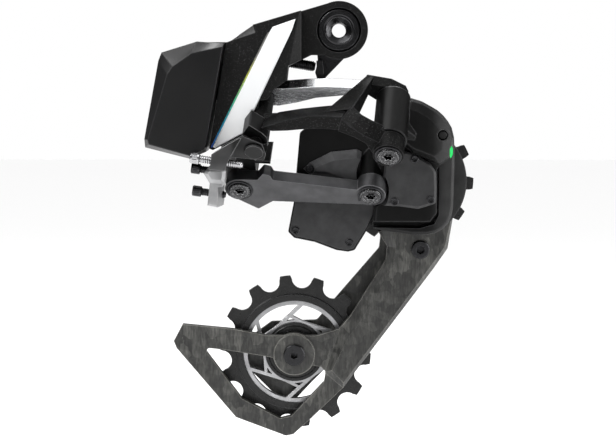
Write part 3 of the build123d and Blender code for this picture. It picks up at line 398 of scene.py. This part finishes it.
def lens_green():
    s = Shade("lens_green", (0.02, 0.5, 0.12), 0.15)
    s.shader.inputs["Emission Color"].default_value = (0.02, 0.9, 0.16, 1)
    s.shader.inputs["Emission Strength"].default_value = 0.5
    s.colour(s.ramp(s.noise(1.2), (0.3, (0.01, 0.4, 0.08)), (0.7, (0.05, 0.75, 0.2))))
    return s.mat


MATERIALS = {
    "knuckle_black": sparkle_black("sparkle_black", 0.2),
    "battery_black": battery_black(),
    "silver_stripe": satin_silver(),
    "grey_anodised": bracket_grey(),
    "link_grey": anodised("link_grey", (0.075, 0.075, 0.078), 0.42),
    "polished_alloy": polished("polished_alloy", (0.82, 0.83, 0.85), 0.2),
    "steel": steel("steel", (0.4, 0.4, 0.41)),
    "dark_steel": steel("dark_steel", (0.04, 0.04, 0.042), 0.35),
    "spring_steel": steel("spring_steel", (0.3, 0.3, 0.31)),
    "housing_black": housing_black(),
    "cover_grey": moulded("cover_grey", (0.032, 0.032, 0.033), 0.46, 0.02, 0.25),
    "carbon": chopped_carbon(),
    "pulley_black": pulley_resin("pulley_black", -16.9, -123.5, (22.4, 10.2)),
    "carrier_alloy": anodised("carrier_alloy", (0.4, 0.4, 0.41), 0.34, edge=0.25),
    "rubber_seal": moulded("rubber_seal", (0.010, 0.010, 0.010), 0.62, 0.02),
    "light_green": lens_green(),
    "board": moulded("board", (0.02, 0.10, 0.04), 0.4),
    "bronze": steel("bronze", (0.10, 0.07, 0.04), 0.35),
    "gold": steel("gold", (0.75, 0.55, 0.2), 0.2),
}
SLOT = {part["node"]: part["material_slot"] for part in frame["record"]["subparts"]}

NODE_MATERIALS = {
    "mount_bolt": turned_steel("bolt_face", (0.045, 0.045, 0.047), 0, 0),
    "motor_cap": moulded("cap_grey", (0.058, 0.058, 0.06), 0.42, 0.02, 0.25),
    "upper_link": sparkle_black("link_black", 0.06),
    "upper_pulley_teeth": pulley_resin("upper_pulley_resin", 26.3, -56.5, (18.4,)),
}


def dress_nodes():
    for name, node in frame["nodes"].items():
        node.data.materials.clear()
        node.data.materials.append(NODE_MATERIALS.get(name) or MATERIALS[SLOT[name]])


# ---- detailed pieces --------------------------------------------------------------------------------

def spin(bm, start, direction, rings, segments=36):
    """Adds a closed round body. A ring is a height and a radius, in millimetres; the radius may be a function."""
    start = Vector(start)
    axis = Vector(direction).normalized()
    side = axis.orthogonal().normalized()
    up = axis.cross(side)
    loops = []
    for height, radius in rings:
        loop = []
        for k in range(segments):
            angle = 2 * math.pi * k / segments
            r = radius(angle) if callable(radius) else radius
            at = start + axis * height + (side * math.cos(angle) + up * math.sin(angle)) * r
            loop.append(bm.verts.new(at * MM))
        loops.append(loop)
    for low, high in zip(loops, loops[1:]):
        for k in range(segments):
            n = (k + 1) % segments
            bm.faces.new((low[k], low[n], high[n], high[k]))
    bm.faces.new(loops[0][::-1])
    bm.faces.new(loops[-1])


def piece(name, bm, body, slot, material=None, stands_for=()):
    bmesh.ops.recalc_face_normals(bm, faces=bm.faces)
    mesh = bpy.data.meshes.new(name)
    bm.to_mesh(mesh)
    bm.free()
    made = bpy.data.objects.new(name, mesh)
    bpy.context.scene.collection.objects.link(made)
    mesh.materials.append(material or MATERIALS[slot])
    mesh.polygons.foreach_set("use_smooth", [True] * len(mesh.polygons))
    mesh.set_sharp_from_angle(angle=math.radians(35))
    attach(made, body)
    if stands_for:
        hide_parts(*stands_for)


def thread(start, end, r, pitch, depth):
    """Rings of a screw thread from one height to another."""
    step = pitch / 6
    count = max(int((end - start) / step), 1)
    rings = []
    for k in range(count + 1):
        height = start + (end - start) * k / count
        fade = min((end - height) / pitch, 1.0)

        def radius(angle, height=height, fade=fade):
            phase = (height / pitch - angle / (2 * math.pi)) % 1.0
            return r - depth * abs(2 * phase - 1) - 0.25 * r * (1 - fade)
        rings.append((height, radius))
    return rings


def six_sided(across):
    def radius(angle):
        turned = (angle + math.pi / 6) % (math.pi / 3) - math.pi / 6
        return across / 2 / math.cos(turned)
    return radius


def six_lobed(r):
    return lambda angle: r * (1 + 0.16 * math.cos(6 * angle))


def headed_screw(node, start, direction, head, shank_r, length, across, slot):
    """Socket screw that starts at its head, which has a radius and a height, and rides on its own body."""
    bm = bmesh.new()
    head_r, head_h = head
    rings = [(min(head_h * 0.6, 2.0), six_sided(across * 0.98)), (0.25, six_sided(across)),
             (0.0, across * 0.62), (0.0, head_r - 0.3), (0.3, head_r)]
    for k in range(1, 9):
        rings.append((0.3 + (head_h - 0.6) * k / 9, lambda a, k=k: head_r - 0.07 * (1 + math.cos(18 * a))))
    rings += [(head_h - 0.2, head_r), (head_h, head_r - 0.2), (head_h, shank_r)]
    rings += thread(head_h + 0.2, length - 0.05, shank_r, 0.8, 0.28)
    rings.append((length, shank_r * 0.5))
    spin(bm, start, direction, rings, 48)
    piece(node + "_threaded", bm, node, slot, stands_for=(node,))


SCREW_DIR = Vector((1.0, 0.0, -0.14)).normalized()
B_SCREW = (Vector((-30.0, -6.2, -9.9)), Vector((-8.8, -6.2, -13.5)))


# Node (and its body), where its head starts, shank radius, length, slot.
LIMIT_SCREWS = [("upper_limit_screw", (-53.9, -31.5, -46.2), 1.42, 19.4, "steel"),
                ("middle_limit_screw", (-54.9, -12.5, -51.0), 1.5, 11.0, "dark_steel"),
                ("lower_limit_screw", (-54.4, -13.5, -59.3), 1.5, 12.6, "dark_steel")]
LIMIT_HEAD = (2.0, 3.4)
LIMIT_SOCKET = 2.0


def adjuster_screws():
    for node, start, shank_r, length, slot in LIMIT_SCREWS:
        headed_screw(node, start, SCREW_DIR, LIMIT_HEAD, shank_r, length, LIMIT_SOCKET, slot)
    head, tip = B_SCREW
    bm = bmesh.new()
    length = (tip - head).length
    rings = [(2.5, six_sided(2.4)), (0.0, six_sided(2.5)), (0.0, 1.8), (0.2, 2.0)]
    rings += thread(0.4, length - 0.05, 2.0, 0.8, 0.3) + [(length, 1.2)]
    spin(bm, head, tip - head, rings, 48)
    piece("b_screw_threaded", bm, "b_screw", "dark_steel", stands_for=("b_screw",))


# The links' frame, as in the CAD: origin at the upper rear pin, with x towards the front pin.
LINK_ORIGIN = Vector((-30.8, -30.0, -43.7))
OUTWARD = -Vector((0.08716, 0.70442, 0.70442))
FORWARD = Vector((0.99549, -0.08810, -0.03507))
UPWARD = Vector((-0.0374, -0.7043, 0.7089))


def link_point(x, y, level=0.0):
    return LINK_ORIGIN + FORWARD * x + UPWARD * y + OUTWARD * level


# Dark steel pins; the near-white edge colour is a painted highlight
PIN_STEEL = steel("pin_steel", (0.055, 0.055, 0.057), 0.26, (0.75, 0.75, 0.76))


# Piece, the CAD node that it stands for, place on the link's frame, level of its far end, body.
LINK_PINS = [("front_pin_upper", "upper_front_pin", (48.7, 0), -34.6, "moving_knuckle"),
             ("front_pin_lower", "lower_front_pin", (41.9, -22.0), -21.0, "moving_knuckle"),
             ("rear_pin_lower", "lower_rear_pin", (-6.8, -22.0), -20.0, "knuckle")]


def link_pins():
    """Pins with a raised rim, a dished face and a lobed socket."""
    for name, node, at, low, body in LINK_PINS:
        bm = bmesh.new()
        shank = [(low, 1.9), (low + 0.4, 2.3), (0.3, 2.3)]
        rim = [(0.3, 4.0), (0.75, 4.0), (1.1, 3.7), (1.1, 3.15), (0.8, 2.9), (0.75, 1.95)]
        socket = [(0.65, six_lobed(1.6)), (-0.9, six_lobed(1.5)), (-1.1, 0.6)]
        spin(bm, link_point(*at), OUTWARD, shank + rim + socket, 48)
        piece(name, bm, body, "steel", material=PIN_STEEL, stands_for=(node,))
        clip(name + "_clip", link_point(*at), body)


CLIP_SECTION = [(4.08, 0.06), (4.85, 0.06), (4.85, 0.42), (4.7, 0.5), (4.2, 0.5), (4.08, 0.42)]
CLIP_OUTER = (1, 2, 3)                    # the section's points that the ears push out


def clip(name, centre, body):
    """Open spring ring that lies on the link round the pin's head."""
    bm = bmesh.new()
    count = 40
    gap = 0.5
    rows = []
    for k in range(count + 1):
        angle = math.radians(-115) + gap + (2 * math.pi - 2 * gap) * k / count
        ear = 0.5 if k in (0, 1, count - 1, count) else 0.0
        out = FORWARD * math.cos(angle) + UPWARD * math.sin(angle)
        row = []
        for point, (r, level) in enumerate(CLIP_SECTION):
            if point in CLIP_OUTER:
                r += ear
            row.append(bm.verts.new((centre + out * r + OUTWARD * level) * MM))
        rows.append(row)
    for a, b in zip(rows, rows[1:]):
        for k in range(len(CLIP_SECTION)):
            n = (k + 1) % len(CLIP_SECTION)
            bm.faces.new((a[k], a[n], b[n], b[k]))
    bm.faces.new(rows[0][::-1])
    bm.faces.new(rows[-1])
    piece(name, bm, body, "dark_steel")


COVER_SCREWS = [(27.9, -47.4, -17.6), (33.9, -62.5, -17.6), (20.6, -63.2, -17.6), (4.0, -79.4, -7.9),
                (-16.2, -74.8, -7.9), (-10.9, -51.6, -7.9)]


def cover_screw_heads():
    bm = bmesh.new()
    for x, z, face in COVER_SCREWS:
        head = [(0.0, 1.5), (0.4, 1.5), (0.6, 1.25), (0.6, 0.98)]
        socket = [(0.55, six_lobed(0.82)), (0.06, six_lobed(0.74)), (0.04, 0.2)]
        spin(bm, (x, face, z), (0, -1, 0), head + socket, 36)
    piece("cover_screw_heads", bm, "moving_knuckle", "dark_steel", stands_for=("cover_screws",))


FILM_BACK = -22.01
FILM_FRONT = -22.25
FILM = [(-25.1, -0.7), (-26.1, -1.1), (-47.0, -42.9), (-46.4, -42.9)]


def film_strip():
    """Thin coloured film along the plate's edge."""
    bm = bmesh.new()
    back = [bm.verts.new((x * MM, FILM_BACK * MM, z * MM)) for x, z in FILM]
    front = [bm.verts.new((x * MM, FILM_FRONT * MM, z * MM)) for x, z in FILM]
    bm.faces.new(back)
    bm.faces.new(front[::-1])
    for k in range(4):
        n = (k + 1) % 4
        bm.faces.new((back[k], front[k], front[n], back[n]))
    bmesh.ops.subdivide_edges(bm, edges=bm.edges, cuts=6, use_grid_fill=True)
    piece("film_strip", bm, "knuckle", "silver_stripe", material=colour_film())


# ---- stage, light and camera ------------------------------------------------------------------------

def area_light(name, place, aim, size, power):
    data = bpy.data.lights.new(name, "AREA")
    data.shape = "RECTANGLE"
    data.size, data.size_y = size
    data.energy = power
    lamp = bpy.data.objects.new(name, data)
    lamp.location = place
    lamp.rotation_euler = (Vector(aim) - Vector(place)).to_track_quat("-Z", "Y").to_euler()
    bpy.context.scene.collection.objects.link(lamp)


FLOOR_REACH = 3.0
FLOOR_DROP = 0.045                        # the cage hangs about 30 mm lower at the end of the shift
SKY = ((0.1, 0.05), (1.0, 1.25), (0.45, 0.3))       # heights and strengths of the soft light


def studio():
    low, high = (Vector(v) for v in cad_box)
    floor = bpy.data.meshes.new("floor")
    z = low.z - FLOOR_DROP
    r = FLOOR_REACH
    floor.from_pydata([(-r, -r, z), (r, -r, z), (r, r, z), (-r, r, z)], [], [(0, 1, 2, 3)])
    floor_object = bpy.data.objects.new("floor", floor)
    bpy.context.scene.collection.objects.link(floor_object)
    paper = Shade("floor_paper", (0.98, 0.98, 0.98), 0.8)
    paper.bump(paper.noise(2.0, 3), 0.02, 0.2)
    floor.materials.append(paper.mat)

    world = bpy.data.worlds.new("studio")
    world.use_nodes = True
    nodes = world.node_tree.nodes
    links = world.node_tree.links
    soft = nodes["Background"]
    upward = nodes.new("ShaderNodeSeparateXYZ")
    links.new(nodes.new("ShaderNodeTexCoord").outputs["Generated"], upward.inputs["Vector"])
    gradient = nodes.new("ShaderNodeValToRGB")
    first, last = gradient.color_ramp.elements
    middle = gradient.color_ramp.elements.new(0.5)
    for element, (at, value) in zip((first, last, middle), SKY):
        element.position = at
        element.color = (value, value, value, 1)
    links.new(upward.outputs["Z"], gradient.inputs["Fac"])
    links.new(gradient.outputs["Color"], soft.inputs["Color"])
    soft.inputs["Strength"].default_value = 1.0
    bright = nodes.new("ShaderNodeBackground")
    bright.inputs["Color"].default_value = (1, 1, 1, 1)
    bright.inputs["Strength"].default_value = 1.0
    choose = nodes.new("ShaderNodeMixShader")
    links.new(nodes.new("ShaderNodeLightPath").outputs["Is Camera Ray"], choose.inputs[0])
    links.new(soft.outputs[0], choose.inputs[1])
    links.new(bright.outputs[0], choose.inputs[2])
    links.new(choose.outputs[0], nodes["World Output"].inputs["Surface"])
    bpy.context.scene.world = world
    bpy.context.scene.view_settings.view_transform = "Standard"

    centre = (low + high) / 2
    sun = bpy.data.lights.new("sun", "SUN")
    sun.energy = 1.5
    sun.angle = math.radians(50)
    lamp = bpy.data.objects.new("sun", sun)
    lamp.rotation_euler = Vector((0.4, 0.2, -0.9)).to_track_quat("-Z", "Y").to_euler()
    bpy.context.scene.collection.objects.link(lamp)
    area_light("key", (-0.42, -0.42, 0.42), centre, (0.3, 0.4), 3.6)
    area_light("side", (0.6, -0.1, 0.05), centre, (0.15, 0.6), 2.6)
    area_light("rim", (0.0, 0.35, 0.5), centre, (0.6, 0.2), 2.5)


CAMERA_PLACE = (-0.0033, -0.7, -0.0132)
CAMERA_PITCH = -4.71
CAMERA_YAW = 0.68
CAMERA_LENS = 108.2


def camera():
    data = bpy.data.cameras.new("camera")
    data.sensor_width = 36
    data.lens = CAMERA_LENS
    data.clip_start = 0.01
    eye = bpy.data.objects.new("camera", data)
    eye.location = CAMERA_PLACE
    eye.rotation_euler = (math.radians(90 + CAMERA_PITCH), 0, math.radians(CAMERA_YAW))
    bpy.context.scene.collection.objects.link(eye)
    bpy.context.scene.camera = eye


dress_nodes()
adjuster_screws()
link_pins()
cover_screw_heads()
film_strip()
studio()
camera()
